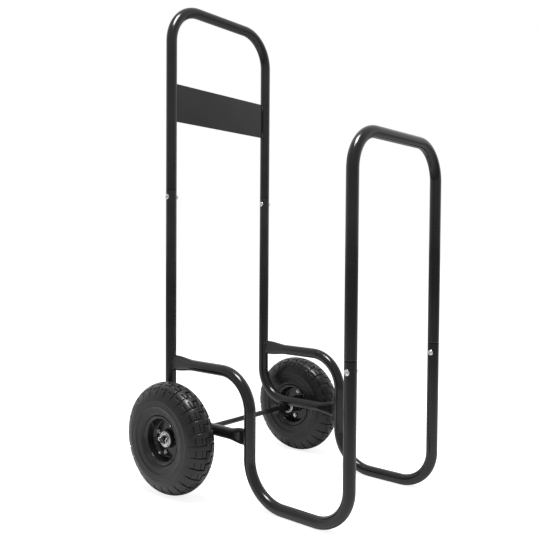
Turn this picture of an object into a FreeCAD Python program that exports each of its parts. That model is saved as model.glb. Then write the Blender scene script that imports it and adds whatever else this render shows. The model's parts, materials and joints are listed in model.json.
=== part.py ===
import FreeCAD, Part

import math
import os

from FreeCAD import Vector

# Fireside log cart. Millimetres, +Z up, the floor at z = 0.
# X runs across the cart, and "left" is the -X side.
# The log cradle is at the front, -Y, and the push handle at the back, +Y.

# ---------------------------------------------------------------- frame tube
tube_d = 25.4
tube_wall = 1.5
frame_width = 338.0          # left tube centre to right tube centre
frame_depth = 512.0          # front hoop centre to rear upright centre
cradle_depth = 257.0         # front hoop centre to the cradle's rear post centre
handle_z = 1128.0            # centre of the handle's top bar
hoop_z = 788.5               # centre of the front hoop's top bar
arm_z = 284.0                # centre of the arm from rear upright to cradle
handle_bend_r = 85.0         # bend radii, to the tube's centre line
hoop_bend_r = 80.0
arm_bend_r = 84.0
cradle_rear_bend_r = 92.0
cradle_front_bend_r = 80.0
leg_bend_r = 80.0

# flattened tube ends that are welded to an upright
flat_height = 36.0
flat_thickness = 11.5
flat_length = 18.0
brace_taper = 34.0
arm_taper = 56.0
press_sections = 5           # steps that the loft from round to flat is drawn through

# ------------------------------------------------------- bolted slip joints
handle_hoop_height = 434.0   # rear seam to the centre of the handle bar
front_hoop_height = 444.5    # front seam to the centre of the front hoop's bar
spigot_length = 46.0
spigot_clearance = 0.2       # all round, between spigot and socket
spigot_shoulder = 3.0
socket_edge_r = 0.7
rear_bolt_drop = 17.0        # bolt axis below the seam
front_bolt_drop = 21.0
bolt_d = 6.0
bolt_hole_clearance = 0.3
bolt_head_d = 12.0
bolt_head_height = 3.6
bolt_head_rim = 0.9          # the straight edge under the dome
bolt_recess_width = 1.3
bolt_recess_span = 6.0
bolt_recess_depth = 1.6
nut_across_flats = 10.0
nut_height = 5.0
bolt_end_past_nut = 1.5
thread_clearance = 0.05

# --------------------------------------------------------------- cross plate
plate_below_bar = 182.0      # handle bar's centre to the plate's top edge
plate_height = 89.5
plate_thickness = 2.5

# ------------------------------------------------------------ axle and wheels
tyre_r = 127.0               # the tyres and the cradle stand on one floor
tyre_width = 74.0
tyre_side_gap = 15.3         # outer side of the cradle to the tyre
axle_ahead = 71.0            # axle centre ahead of the rear upright's centre
axle_d = 12.7
axle_end_chamfer = 1.0
sleeve_d = 27.0
sleeve_clearance = 0.15
sleeve_inboard = 20.3        # past the inner side of the brace
sleeve_outboard = 2.3        # past the outer side of the brace
sleeve_wall_under_brace = 1.0
washer_d = 19.0
washer_thickness = 2.0
washer_clearance = 0.15
hub_side_play = 0.5
hub_past_disc = 14.0         # wheel's middle plane to the hub's outer end
hub_wall = 2.5
hub_shoulder = 2.0
pin_wire_d = 2.8
pin_tail_d = 2.2
pin_hole_clearance = 0.15
pin_gap = 0.3                # washer face to split pin
pin_eye_r = 3.6              # to the centre of the wire
pin_tail_reach = 5.0         # past the axle's front side
pin_tail_spread = 7.2        # up and down from the pin's line
axle_past_pin = 5.0

# bearings
bearing_d = 35.0
bearing_width = 12.0
bearing_flange_height = 1.5
bearing_flange = 1.5
race_stand_out = 0.8         # inner race past the flange
race_clearance = 0.04        # inner race on the axle
ball_d = 6.0
ball_count = 8
ball_clearance = 0.06
race_gap = 1.9               # half of the open space between the races
shield_thickness = 1.0
shield_clearance = 0.8       # shield to the inner race

# rim halves, each pressed from one disc of sheet
sheet = 1.8
bead_seat_r = 49.5
dish_wall_height = 6.5       # from the flat disc's edge up to the bead seat
dish_wall_x = 9.0            # where the dish wall turns into the bead seat
flange_height = 5.2          # bead seat to the lip
rim_half_width = 30.0
flange_inset = 4.0           # lip to where the bead seat turns up into the flange
flange_lean = 1.4
lip_reach = 2.6
press_r = 3.5
lip_press_r = 2.5
rim_bolt_edge = 8.5          # bolt's centre to the edge of the flat disc
rim_bolt_count = 4
rim_bolt_d = 6.0
rim_bolt_clearance = 0.3
rim_head_height = 4.0
rim_nut_height = 5.0
rim_bolt_past_nut = 2.0
rim_across_flats = 10.0
left_wheel_turn = 16.6       # where each wheel has stopped, in degrees
right_wheel_turn = 8.0
left_tyre_turn = 8.5         # and each tyre, which goes on its rim at any angle
right_tyre_turn = 4.3

# tyre and inner tube
shoulder_in = 13.5           # widest part of the tyre to the edge of the tread
tread_drop = 8.5             # crown to shoulder edge
widest_above_middle = 1.5    # widest part of the sidewall above its middle
sidewall_foot_out = 0.8      # sidewall's foot past the rim's lip, sideways
sidewall_foot_up = 2.9       # sidewall's foot above the rim's lip
shoulder_turn_in = 0.6       # sideways for each millimetre that the inside lies deeper
bead_width = 10.5
bead_bevel = 2.6
bead_gap = 0.3
carcass = 6.0
tube_gap = 0.5
inner_tube_wall = 2.0

# tread: a middle row of blocks, two rows on each side of it, and the shoulder blocks
repeat_count = 28            # how often the pattern repeats round the tyre
cross_groove_width = 3.0
cross_groove_depth = 3.4
shoulder_groove_width = 3.8
shoulder_floor_slope = 1.5   # how fast a shoulder groove's floor falls past the tread's edge
middle_seam_x = 6.8          # middle plane to the seam beside the middle row
row_seam_x = 15.5            # to the seam between the two rows beside it
shoulder_seam_x = 25.5       # to the seam above the shoulder blocks
seam_width = 2.0
seam_depth = 2.8
seam_share = 0.58            # how much of each repeat a seam runs for
ledge_top_r = 92.0           # foot of the shoulder blocks, where the sidewall steps in
ledge_height = 5.0
ledge_in = 0.7               # widest part of the tyre to the ledge's floor

# valve
valve_angle = 142.0          # round the wheel, from the rear towards the top
valve_hole_clearance = 0.2
valve_seat_gap = 0.2         # valve's foot to the inner tube
valve_d = 8.0
valve_length = 20.0
valve_thread_d = 4.8
valve_thread_length = 5.6
valve_cap_d = 9.4
valve_cap_length = 8.0
valve_cap_edge_r = 1.5

# ------------------------------------------------------------- derived sizes
tube_r = tube_d / 2
bore_r = tube_r - tube_wall
side_x = frame_width / 2
axle_r = axle_d / 2
back_reach = tyre_r - axle_ahead
front_reach = frame_depth + tube_r
rear_seam_z = handle_z - handle_hoop_height
front_seam_z = hoop_z - front_hoop_height
plate_bottom_z = handle_z - plate_below_bar - plate_height
rear_y = (front_reach - back_reach) / 2
front_y = rear_y - frame_depth
post_y = front_y + cradle_depth
axle_y = rear_y - axle_ahead
axle_z = tyre_r
sleeve_bore_r = axle_r + sleeve_clearance
brace_z = axle_z + sleeve_bore_r + sleeve_wall_under_brace + tube_r
floor_run_z = tube_r
spigot_r = bore_r - spigot_clearance
sleeve_inner_x = side_x - tube_r - sleeve_inboard
sleeve_outer_x = side_x + tube_r + sleeve_outboard
wheel_centre_x = side_x + tube_r + tyre_side_gap + tyre_width / 2
hub_inner_x = sleeve_outer_x + washer_thickness + hub_side_play + bearing_flange + race_stand_out
hub_outer_x = wheel_centre_x + hub_past_disc
outer_washer_x = hub_outer_x + bearing_flange + race_stand_out + hub_side_play
pin_x = outer_washer_x + washer_thickness + pin_gap + pin_wire_d / 2
axle_half_length = pin_x + axle_past_pin
bearing_r = bearing_d / 2
hub_r = bearing_r + hub_wall
ball_circle_r = (axle_r + bearing_r) / 2
inner_race_r = ball_circle_r - race_gap
disc_r = bead_seat_r - dish_wall_height
rim_lip_r = bead_seat_r + flange_height
flange_x = rim_half_width - flange_inset
rim_bolt_circle_r = disc_r - rim_bolt_edge
tread_half_width = tyre_width / 2 - shoulder_in
shoulder_r = tyre_r - tread_drop
sidewall_foot_x = rim_half_width + sidewall_foot_out
sidewall_foot_r = rim_lip_r + sidewall_foot_up
widest_r = (sidewall_foot_r + shoulder_r) / 2 + widest_above_middle
repeat_angle = 360.0 / repeat_count

X_AXIS = Vector(1, 0, 0)
Y_AXIS = Vector(0, 1, 0)
Z_AXIS = Vector(0, 0, 1)
OVERSHOOT = 1.0              # how far a cutting tool runs past what it cuts
TOUCH = 0.01                 # closer than this is the same place


# ------------------------------------------------------------ shape helpers
def bent_path(corners, radii):
    """Straight runs joined by tangent arcs, with one radius at each inner corner."""
    edges = []
    run_start = corners[0]
    for before, corner, after, radius in zip(corners, corners[1:], corners[2:], radii):
        back = (before - corner).normalize()
        ahead = (after - corner).normalize()
        half_angle = back.getAngle(ahead) / 2
        bisector = (back + ahead).normalize()
        centre = corner + bisector * (radius / math.sin(half_angle))
        arc_start = corner + back * (radius / math.tan(half_angle))
        arc_end = corner + ahead * (radius / math.tan(half_angle))
        edges.append(Part.LineSegment(run_start, arc_start).toShape())
        edges.append(Part.Arc(arc_start, centre - bisector * radius, arc_end).toShape())
        run_start = arc_end
    edges.append(Part.LineSegment(run_start, corners[-1]).toShape())
    return Part.Wire(edges)


def swept_rod(path, radius):
    """A round rod along a path."""
    first = path.OrderedEdges[0]
    start = first.valueAt(first.FirstParameter)
    direction = first.tangentAt(first.FirstParameter)
    circle = Part.Wire(Part.makeCircle(radius, start, direction))
    return path.makePipeShell([circle], True, False)


def rod(radius, start, end):
    """A straight round rod between two points."""
    along = end - start
    return Part.makeCylinder(radius, along.Length, start, along)


def ring(outer_r, inner_r, start, end):
    """A straight tube between two points."""
    return rod(outer_r, start, end).cut(rod(inner_r, start, end))


def hexagon_block(across_flats, height, base, direction):
    """A hexagonal prism that stands on base, with two flats across its local X."""
    corner_r = across_flats / 2 / math.cos(math.pi / 6)
    corners = []
    for step in range(7):
        angle = math.radians(60 * step + 30)
        corners.append(Vector(corner_r * math.cos(angle), corner_r * math.sin(angle), 0))
    block = Part.Face(Part.makePolygon(corners)).extrude(Vector(0, 0, height))
    block.Placement = FreeCAD.Placement(base, FreeCAD.Rotation(Z_AXIS, direction))
    return block


def ellipse_wire(centre, half_height, half_thickness):
    """An upright ellipse across the Y direction."""
    top = centre + Z_AXIS * half_height
    side = centre + X_AXIS * half_thickness
    return Part.Wire(Part.Ellipse(top, side, centre).toShape())


def revolved(outline_edges):
    """A solid turned about the X axis from a closed outline of (x, radius) in the XY plane."""
    face = Part.Face(Part.Wire(outline_edges))
    return face.revolve(Vector(0, 0, 0), X_AXIS, 360)


def line(x1, r1, x2, r2):
    return Part.LineSegment(Vector(x1, r1, 0), Vector(x2, r2, 0)).toShape()


def arc(x1, r1, x2, r2, x3, r3):
    """An arc from the first point through the second to the third."""
    points = (Vector(x1, r1, 0), Vector(x2, r2, 0), Vector(x3, r3, 0))
    return Part.Arc(*points).toShape()


def outline(points):
    """A closed outline of straight edges through (x, radius) points."""
    closed = points + points[:1]
    return [line(*a, *b) for a, b in zip(closed, closed[1:])]


def dome_arc(rim_x, rim_r, top_x):
    """The arc of a round cap from its rim to its top, which lies on the X axis."""
    height = rim_x - top_x
    radius = (rim_r**2 + height**2) / (2 * height)
    half_angle = math.asin(rim_r / radius) / 2
    middle_x = top_x + radius * (1 - math.cos(half_angle))
    return arc(rim_x, rim_r, middle_x, radius * math.sin(half_angle), top_x, 0)


def mirrored(shape):
    """The shape's mirror image across the X = 0 plane."""
    return shape.mirror(Vector(0, 0, 0), X_AXIS)


def one_solid(shape):
    """The single clean solid that a boolean left in a compound."""
    return shape.removeSplitter().Solids[0]


# ------------------------------------------------------------- frame pieces
def flattened_end(x, y_round, z, taper, toward, inset):
    """A tube end that is pressed from round to a tall oval, solid, inset from the tube's skin."""
    sections = []
    half_height = flat_height / 2 - inset
    half_thickness = flat_thickness / 2 - inset
    radius = tube_r - inset
    for step in range(press_sections + 1):
        share = step / press_sections
        smooth = share * share * (3 - 2 * share)
        centre = Vector(x, y_round + toward * taper * share, z)
        height = radius + (half_height - radius) * smooth
        thickness = radius + (half_thickness - radius) * smooth
        sections.append(ellipse_wire(centre, height, thickness))
    pressed = Part.makeLoft(sections, True, False)
    oval = Part.Face(sections[-1]).extrude(Vector(0, toward * flat_length, 0))
    return pressed.fuse(oval)


def upright_skin(x, y, z, height):
    """The outside of an upright tube, to cope a welded end against."""
    low = Vector(x, y, z - height)
    high = Vector(x, y, z + height)
    return rod(tube_r, low, high)


def socket_bolt_hole(x, y, z):
    """A hole across a leg for a joint bolt."""
    reach = tube_r + OVERSHOOT
    hole_r = bolt_d / 2 + bolt_hole_clearance
    return rod(hole_r, Vector(x - reach, y, z), Vector(x + reach, y, z))


def rounded_socket(tube, seam_z):
    """Rounds the outer rim of a lower tube's open top."""
    rims = []
    for edge in tube.Edges:
        at_seam = abs(edge.BoundBox.ZMin - seam_z) < TOUCH and abs(edge.BoundBox.ZMax - seam_z) < TOUCH
        if at_seam and abs(edge.BoundBox.XLength - tube_d) < TOUCH:
            rims.append(edge)
    return tube.makeFillet(socket_edge_r, rims)


def leg_path(side):
    """The centre line of a rear leg, down the upright and forward to where the brace is pressed flat."""
    x = side * side_x
    taper_y = post_y + tube_r / 2 + flat_length + brace_taper
    corners = [Vector(x, rear_y, rear_seam_z), Vector(x, rear_y, brace_z), Vector(x, taper_y, brace_z)]
    return bent_path(corners, [leg_bend_r])


def rear_leg(side):
    """A lower rear upright that bends forward into the brace under the arm."""
    x = side * side_x
    path = leg_path(side)
    taper_y = path.BoundBox.YMin
    outside = swept_rod(path, tube_r).fuse(flattened_end(x, taper_y, brace_z, brace_taper, -1, 0))
    inside = swept_rod(path, bore_r).fuse(flattened_end(x, taper_y, brace_z, brace_taper, -1, tube_wall))
    leg = one_solid(outside.cut(inside).cut(upright_skin(x, post_y, brace_z, flat_height)))
    leg = rounded_socket(leg, rear_seam_z)
    return leg.cut(socket_bolt_hole(x, rear_y, rear_seam_z - rear_bolt_drop))


def cradle_side(side):
    """One side of the log cradle: arm, rear post, floor run and front post, bent from one tube."""
    x = side * side_x
    taper_y = rear_y - tube_r / 2 - flat_length - arm_taper
    corners = [
        Vector(x, front_y, front_seam_z),
        Vector(x, front_y, floor_run_z),
        Vector(x, post_y, floor_run_z),
        Vector(x, post_y, arm_z),
        Vector(x, taper_y, arm_z),
    ]
    path = bent_path(corners, [cradle_front_bend_r, cradle_rear_bend_r, arm_bend_r])
    outside = swept_rod(path, tube_r).fuse(flattened_end(x, taper_y, arm_z, arm_taper, 1, 0))
    inside = swept_rod(path, bore_r).fuse(flattened_end(x, taper_y, arm_z, arm_taper, 1, tube_wall))
    tube = one_solid(outside.cut(inside).cut(upright_skin(x, rear_y, arm_z, flat_height)))
    tube = rounded_socket(tube, front_seam_z)
    return tube.cut(socket_bolt_hole(x, front_y, front_seam_z - front_bolt_drop))


def spigot(x, y, seam_z):
    """The reduced end of an upper tube, with its rounded shoulder at the seam."""
    lip = seam_z + spigot_shoulder
    end = seam_z - spigot_length
    inner = spigot_r - tube_wall
    step_in = tube_r - spigot_r
    round_r = (spigot_shoulder**2 + step_in**2) / (2 * step_in)
    half_angle = math.asin(spigot_shoulder / round_r) / 2
    knee = lip - round_r * math.sin(half_angle)
    knee_r = tube_r - round_r * (1 - math.cos(half_angle))
    edges = [
        arc(lip, tube_r, knee, knee_r, seam_z, spigot_r),
        line(seam_z, spigot_r, end, spigot_r),
        line(end, spigot_r, end, inner),
        line(end, inner, seam_z, inner),
        line(seam_z, inner, lip, bore_r),
        line(lip, bore_r, lip, tube_r),
    ]
    turned = revolved(edges)
    turned.Placement = FreeCAD.Placement(Vector(x, y, 0), FreeCAD.Rotation(X_AXIS, Z_AXIS))
    return turned


def upper_hoop(y, top_z, bend_r, seam_z, bolt_drop):
    """An upside-down U of tube whose two ends are reduced to plug into the lower tubes."""
    lip = seam_z + spigot_shoulder
    corners = [
        Vector(-side_x, y, lip),
        Vector(-side_x, y, top_z),
        Vector(side_x, y, top_z),
        Vector(side_x, y, lip),
    ]
    path = bent_path(corners, [bend_r, bend_r])
    hoop = swept_rod(path, tube_r).cut(swept_rod(path, bore_r))
    ends = [spigot(-side_x, y, seam_z), spigot(side_x, y, seam_z)]
    hoop = one_solid(hoop.fuse(ends))
    holes = [socket_bolt_hole(x, y, seam_z - bolt_drop) for x in (-side_x, side_x)]
    return hoop.cut(holes)


def handle_plate():
    """The flat cross plate between the handle's legs."""
    length = frame_width - tube_d + OVERSHOOT
    corner = Vector(-length / 2, rear_y - plate_thickness / 2, plate_bottom_z)
    plate = Part.makeBox(length, plate_thickness, plate_height, corner)
    middle_z = plate_bottom_z + plate_height / 2
    legs = [upright_skin(x, rear_y, middle_z, plate_height) for x in (-side_x, side_x)]
    return one_solid(plate.cut(legs))


def joint_bolt(x, y, z):
    """A round-head bolt across a leg, with its head on the -X side."""
    head_x = x - tube_r
    top_x = head_x - bolt_head_height
    head_r = bolt_head_d / 2
    end_x = x + tube_r + nut_height + bolt_end_past_nut
    rim_x = head_x - bolt_head_rim
    shank_r = bolt_d / 2
    edges = [
        line(top_x, 0, end_x, 0),
        line(end_x, 0, end_x, shank_r),
        line(end_x, shank_r, head_x, shank_r),
        line(head_x, shank_r, head_x, head_r),
        line(head_x, head_r, rim_x, head_r),
        dome_arc(rim_x, head_r, top_x),
    ]
    bolt = revolved(edges)
    bolt.translate(Vector(0, y, z))
    half = bolt_recess_span / 2
    wide = bolt_recess_width / 2
    recess_corner = Vector(top_x - OVERSHOOT, y - half, z - wide)
    depth = bolt_recess_depth + OVERSHOOT
    slot = Part.makeBox(depth, bolt_recess_span, bolt_recess_width, recess_corner)
    crossed = slot.copy()
    crossed.rotate(Vector(0, y, z), X_AXIS, 90)
    return bolt.cut([slot, crossed])


def joint_nut(x, y, z):
    """The nut on a joint bolt, against the tube's +X side."""
    seat = Vector(x + tube_r, y, z)
    block = hexagon_block(nut_across_flats, nut_height, seat, X_AXIS)
    bore = rod(bolt_d / 2 + thread_clearance, seat, seat + X_AXIS * nut_height)
    return block.cut(bore)


def at_each_joint(make):
    """One piece for each of the four slip joints."""
    rear_z = rear_seam_z - rear_bolt_drop
    front_z = front_seam_z - front_bolt_drop
    pieces = []
    for x in (-side_x, side_x):
        pieces.append(make(x, rear_y, rear_z))
        pieces.append(make(x, front_y, front_z))
    return Part.makeCompound(pieces)


# ------------------------------------------------------------- axle pieces
def axle_point(x, up=0.0):
    return Vector(x, axle_y, axle_z + up)


def axle():
    """The plain round axle, cross-drilled at each end for a split pin."""
    bar = rod(axle_r, axle_point(-axle_half_length), axle_point(axle_half_length))
    rims = [edge for edge in bar.Edges if edge.Curve.TypeId == "Part::GeomCircle"]
    bar = bar.makeChamfer(axle_end_chamfer, rims)
    hole_r = pin_wire_d / 2 + pin_hole_clearance
    across = Y_AXIS * (axle_r + OVERSHOOT)
    holes = [rod(hole_r, axle_point(x) - across, axle_point(x) + across) for x in (-pin_x, pin_x)]
    return bar.cut(holes)


def axle_sleeve(side):
    """A short sleeve that is coped and welded under the brace, and carries the axle."""
    inner = axle_point(side * sleeve_inner_x)
    outer = axle_point(side * sleeve_outer_x)
    sleeve = ring(sleeve_d / 2, sleeve_bore_r, inner, outer)
    coped = sleeve.cut(swept_rod(leg_path(side), tube_r))
    return max(coped.Solids, key=lambda solid: solid.Volume)


def axle_washer(x_low):
    """A plain washer on the axle."""
    return ring(
        washer_d / 2, axle_r + washer_clearance, axle_point(x_low), axle_point(x_low + washer_thickness)
    )


def axle_washers():
    inner = sleeve_outer_x
    outer = outer_washer_x
    starts = (-outer - washer_thickness, -inner - washer_thickness, inner, outer)
    return Part.makeCompound([axle_washer(x) for x in starts])


def split_pin(side):
    """A split pin through the axle, its eye behind and its two tails spread in front."""
    wire_r = pin_wire_d / 2
    centre = axle_point(side * pin_x)
    eye_y = axle_y + axle_r + pin_eye_r + wire_r
    eye_centre = Vector(centre.x, eye_y, centre.z)
    eye = Part.makeTorus(pin_eye_r, wire_r, eye_centre, X_AXIS)
    stem_start = Vector(centre.x, axle_y + axle_r + wire_r, centre.z)
    stem_end = Vector(centre.x, axle_y - axle_r - wire_r, centre.z)
    stem = rod(wire_r, stem_start, stem_end)
    tails = []
    for up in (-1, 1):
        tail_end = stem_end + Vector(0, -pin_tail_reach, up * pin_tail_spread)
        tails.append(rod(pin_tail_d / 2, stem_end, tail_end))
    knuckle = Part.makeSphere(wire_r, stem_end)
    return one_solid(stem.fuse([eye, knuckle] + tails))


# ------------------------------------------------------------- wheel pieces
# A wheel is made about the X axis with its middle plane at x = 0 and its outer face at +x,
# and then put on the axle. The left wheel is the right wheel's mirror image.
def put_on_axle(shape, side, turn):
    """Turns a wheel piece to where it stopped and moves it to its side of the cart."""
    placed = shape.copy()
    if side < 0:
        placed = mirrored(placed)
    placed.rotate(Vector(0, 0, 0), X_AXIS, turn)
    placed.translate(axle_point(side * wheel_centre_x))
    return placed


def round_wheel(shape, count):
    """Copies of a shape at equal steps round the wheel's axis."""
    copies = []
    for step in range(count):
        turned = shape.copy()
        turned.rotate(Vector(0, 0, 0), X_AXIS, 360.0 * step / count)
        copies.append(turned)
    return copies


def crown_drop(x):
    """How far the tread's crown has fallen at a distance x from the middle plane."""
    crown_radius = (tread_half_width**2 + tread_drop**2) / (2 * tread_drop)
    return crown_radius - math.sqrt(crown_radius**2 - x**2)


def tyre_skin(inset):
    """Sidewall, crown and sidewall arcs of the tyre's section, moved inwards by inset."""
    foot_x = sidewall_foot_x - inset
    wide_x = tyre_width / 2 - inset
    edge_x = tread_half_width - inset * shoulder_turn_in
    edge_r = shoulder_r - inset
    return [
        arc(-foot_x, sidewall_foot_r, -wide_x, widest_r, -edge_x, edge_r),
        arc(-edge_x, edge_r, 0, tyre_r - inset, edge_x, edge_r),
        arc(edge_x, edge_r, wide_x, widest_r, foot_x, sidewall_foot_r),
    ]


def bead_heel_x():
    """The bead's outer side, against the rim's flange."""
    return flange_x - sheet - bead_gap


def tyre_body():
    """The tyre's plain carcass with its two beads."""
    heel_x = bead_heel_x()
    toe_x = heel_x - bead_width
    seat_r = bead_seat_r + bead_gap
    cavity_foot_x = sidewall_foot_x - carcass
    behind_lip_r = rim_lip_r - lip_reach + sheet + 2 * bead_gap
    right_bead = [
        line(sidewall_foot_x, sidewall_foot_r, heel_x, behind_lip_r),
        line(heel_x, behind_lip_r, heel_x, seat_r + bead_bevel),
        line(heel_x, seat_r + bead_bevel, heel_x - bead_bevel, seat_r),
        line(heel_x - bead_bevel, seat_r, toe_x, seat_r),
        line(toe_x, seat_r, cavity_foot_x, sidewall_foot_r),
    ]
    left_bead = [mirrored(edge) for edge in right_bead]
    section = tyre_skin(0) + right_bead + tyre_skin(carcass) + left_bead
    return revolved(Part.__sortEdges__(section))


def tread_floor_r(x, depth):
    """How far from the axle a groove's floor lies, at a distance x from the middle plane."""
    past_edge = max(0.0, abs(x) - tread_half_width)
    return tyre_r - crown_drop(min(abs(x), tread_half_width)) - depth - past_edge * shoulder_floor_slope


def cross_slot(low_x, high_x, width):
    """A cutter across the tread at the top of the wheel."""
    clear_r = tyre_r + OVERSHOOT
    low = (low_x, tread_floor_r(low_x, cross_groove_depth))
    high = (high_x, tread_floor_r(high_x, cross_groove_depth))
    face = Part.Face(Part.Wire(outline([low, high, (high_x, clear_r), (low_x, clear_r)])))
    face.rotate(Vector(0, 0, 0), X_AXIS, 90)
    return face.extrude(Vector(0, width, 0)).translated(Vector(0, -width / 2, 0))


def ring_slot(x, start_share, end_share):
    """A seam round the tread, between two shares of a repeat from the top towards the rear."""
    floor_r = tread_floor_r(x, seam_depth)
    clear_r = tyre_r + OVERSHOOT
    low_x = x - seam_width / 2
    high_x = x + seam_width / 2
    corners = [(low_x, floor_r), (high_x, floor_r), (high_x, clear_r), (low_x, clear_r)]
    face = Part.Face(Part.Wire(outline(corners)))
    face.rotate(Vector(0, 0, 0), X_AXIS, 90 - end_share * repeat_angle)
    return face.revolve(Vector(0, 0, 0), X_AXIS, (end_share - start_share) * repeat_angle)


def tread_repeat():
    """The cutters of one repeat of the tread. The middle row's grooves lie half a repeat on from
    the others, and the seam on each side of it runs between them."""
    lap = seam_width / 2
    one_side = [
        cross_slot(middle_seam_x - lap, row_seam_x, cross_groove_width),
        cross_slot(row_seam_x, tread_half_width, cross_groove_width),
        cross_slot(tread_half_width, tyre_width / 2, shoulder_groove_width),
        ring_slot(row_seam_x, 0, seam_share),
        ring_slot(shoulder_seam_x, 0, seam_share),
    ]
    middle = cross_slot(-middle_seam_x - lap, 0, cross_groove_width)
    middle = middle.fuse(mirrored(middle))
    middle.rotate(Vector(0, 0, 0), X_AXIS, -repeat_angle / 2)
    middle_seams = [ring_slot(middle_seam_x, 0, 0.5), ring_slot(-middle_seam_x, 0.5, 1)]
    return one_side + [mirrored(cutter) for cutter in one_side] + [middle] + middle_seams


def tread_ledge():
    """The cutter of the step under the outer shoulder blocks, right round the sidewall."""
    floor_x = tyre_width / 2 - ledge_in
    clear_x = tyre_width / 2 + OVERSHOOT
    low_r = ledge_top_r - ledge_height
    corners = [(floor_x, low_r), (clear_x, low_r), (clear_x, ledge_top_r), (floor_x, ledge_top_r)]
    return revolved(outline(corners))


def tyre():
    """The tyre with its tread."""
    cutters = [tread_ledge(), mirrored(tread_ledge())]
    for cutter in tread_repeat():
        cutters += round_wheel(cutter, repeat_count)
    return one_solid(tyre_body().cut(cutters))


def inner_tube_block(depth):
    """The space that the inner tube fills, as a solid ring that starts at a depth under its skin."""
    inset = carcass + tube_gap + depth
    foot_x = sidewall_foot_x - inset
    toe_x = bead_heel_x() - bead_width - tube_gap - depth
    floor_r = bead_seat_r + bead_gap + tube_gap + depth
    floor_edges = [
        line(foot_x, sidewall_foot_r, toe_x, floor_r),
        line(toe_x, floor_r, -toe_x, floor_r),
        line(-toe_x, floor_r, -foot_x, sidewall_foot_r),
    ]
    return revolved(tyre_skin(inset) + floor_edges)


def inner_tube():
    """The air tube, a closed ring with a thin wall that fills the tyre."""
    return inner_tube_block(0).cut(inner_tube_block(inner_tube_wall))


def pressed_rim():
    """One rim half before it is drilled: disc, dish wall, bead seat and rolled flange."""
    seat_r = bead_seat_r - sheet
    dish_side = bent_path(
        [
            Vector(sheet, hub_r, 0),
            Vector(sheet, disc_r, 0),
            Vector(dish_wall_x, seat_r, 0),
            Vector(flange_x, seat_r, 0),
            Vector(flange_x + flange_lean, rim_lip_r - lip_reach, 0),
            Vector(rim_half_width, rim_lip_r, 0),
        ],
        [press_r, press_r, press_r, lip_press_r],
    )
    strip = dish_side.makeOffset2D(-sheet, 0, True, True, False)
    return strip.Faces[0].revolve(Vector(0, 0, 0), X_AXIS, 360)


def rim_bolt_holes():
    hole = rod(
        rim_bolt_d / 2 + rim_bolt_clearance,
        Vector(-OVERSHOOT, 0, rim_bolt_circle_r),
        Vector(sheet + OVERSHOOT, 0, rim_bolt_circle_r),
    )
    return round_wheel(hole, rim_bolt_count)


def valve_line():
    """The valve stem's two ends: square to the dish wall, from inside the tyre to the dish."""
    wall_start = Vector(0, 0, disc_r)
    wall_end = Vector(dish_wall_x - sheet, 0, bead_seat_r)
    middle = (wall_start + wall_end) / 2
    along = (wall_end - wall_start).normalize()
    outward = Vector(along.z, 0, -along.x)
    foot = middle - outward * (bead_seat_r + bead_gap + tube_gap - middle.z) / -outward.z
    return foot, foot + outward * valve_length, outward


def turned_to_valve(shape):
    placed = shape.copy()
    placed.rotate(Vector(0, 0, 0), X_AXIS, valve_angle - 90)
    return placed


def rim_outer():
    """The outer rim half, with the valve's hole in its dish wall."""
    foot, tip, outward = valve_line()
    valve_hole = rod(valve_d / 2 + valve_hole_clearance, foot, tip)
    return one_solid(pressed_rim().cut(rim_bolt_holes() + [turned_to_valve(valve_hole)]))


def rim_inner():
    """The inner rim half, bolted back to back with the outer one."""
    return mirrored(one_solid(pressed_rim().cut(rim_bolt_holes())))


def valve_stem():
    """The inner tube's valve: a straight stem that seats on the tube, and a threaded tip."""
    foot, tip, outward = valve_line()
    neck = tip - outward * valve_thread_length
    stem = rod(valve_d / 2, foot, neck).fuse(rod(valve_thread_d / 2, neck, tip))
    return one_solid(turned_to_valve(stem.cut(inner_tube_block(-valve_seat_gap))))


def valve_cap():
    """A screw cap over the valve's tip."""
    foot, tip, outward = valve_line()
    base = tip - outward * valve_thread_length
    top = base + outward * valve_cap_length
    cap = rod(valve_cap_d / 2, base, top)
    bore = rod(valve_thread_d / 2 + thread_clearance, base, tip + outward * thread_clearance)
    rims = [edge for edge in cap.Edges if edge.Curve.TypeId == "Part::GeomCircle"]
    top_rim = max(rims, key=lambda edge: (edge.CenterOfMass - base).Length)
    return turned_to_valve(cap.makeFillet(valve_cap_edge_r, [top_rim]).cut(bore))


def rim_bolts():
    """Hexagon bolts through both rim halves, heads on the outer side."""
    head_base = Vector(sheet, 0, rim_bolt_circle_r)
    end = Vector(-sheet - rim_nut_height - rim_bolt_past_nut, 0, rim_bolt_circle_r)
    head = hexagon_block(rim_across_flats, rim_head_height, head_base, X_AXIS)
    dome = Part.makeSphere(rim_across_flats, head_base + X_AXIS * (rim_head_height - rim_across_flats))
    bolt = head.common(dome).fuse(rod(rim_bolt_d / 2, end, head_base))
    return Part.makeCompound(round_wheel(one_solid(bolt), rim_bolt_count))


def rim_nuts():
    """Nuts against the inner rim half."""
    seat = Vector(-sheet, 0, rim_bolt_circle_r)
    nut = hexagon_block(rim_across_flats, rim_nut_height, seat, -X_AXIS)
    bore = rod(rim_bolt_d / 2 + thread_clearance, seat, seat - X_AXIS * rim_nut_height)
    return Part.makeCompound(round_wheel(nut.cut(bore), rim_bolt_count))


def hub():
    """The hub tube: a bearing pocket at each end and a shoulder between them."""
    start = hub_inner_x - wheel_centre_x
    end = hub_outer_x - wheel_centre_x
    inner_shoulder = start + bearing_width
    outer_shoulder = end - bearing_width
    points = [
        (start, hub_r),
        (end, hub_r),
        (end, bearing_r),
        (outer_shoulder, bearing_r),
        (outer_shoulder, bearing_r - hub_shoulder),
        (inner_shoulder, bearing_r - hub_shoulder),
        (inner_shoulder, bearing_r),
        (start, bearing_r),
    ]
    return revolved(outline(points))


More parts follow.
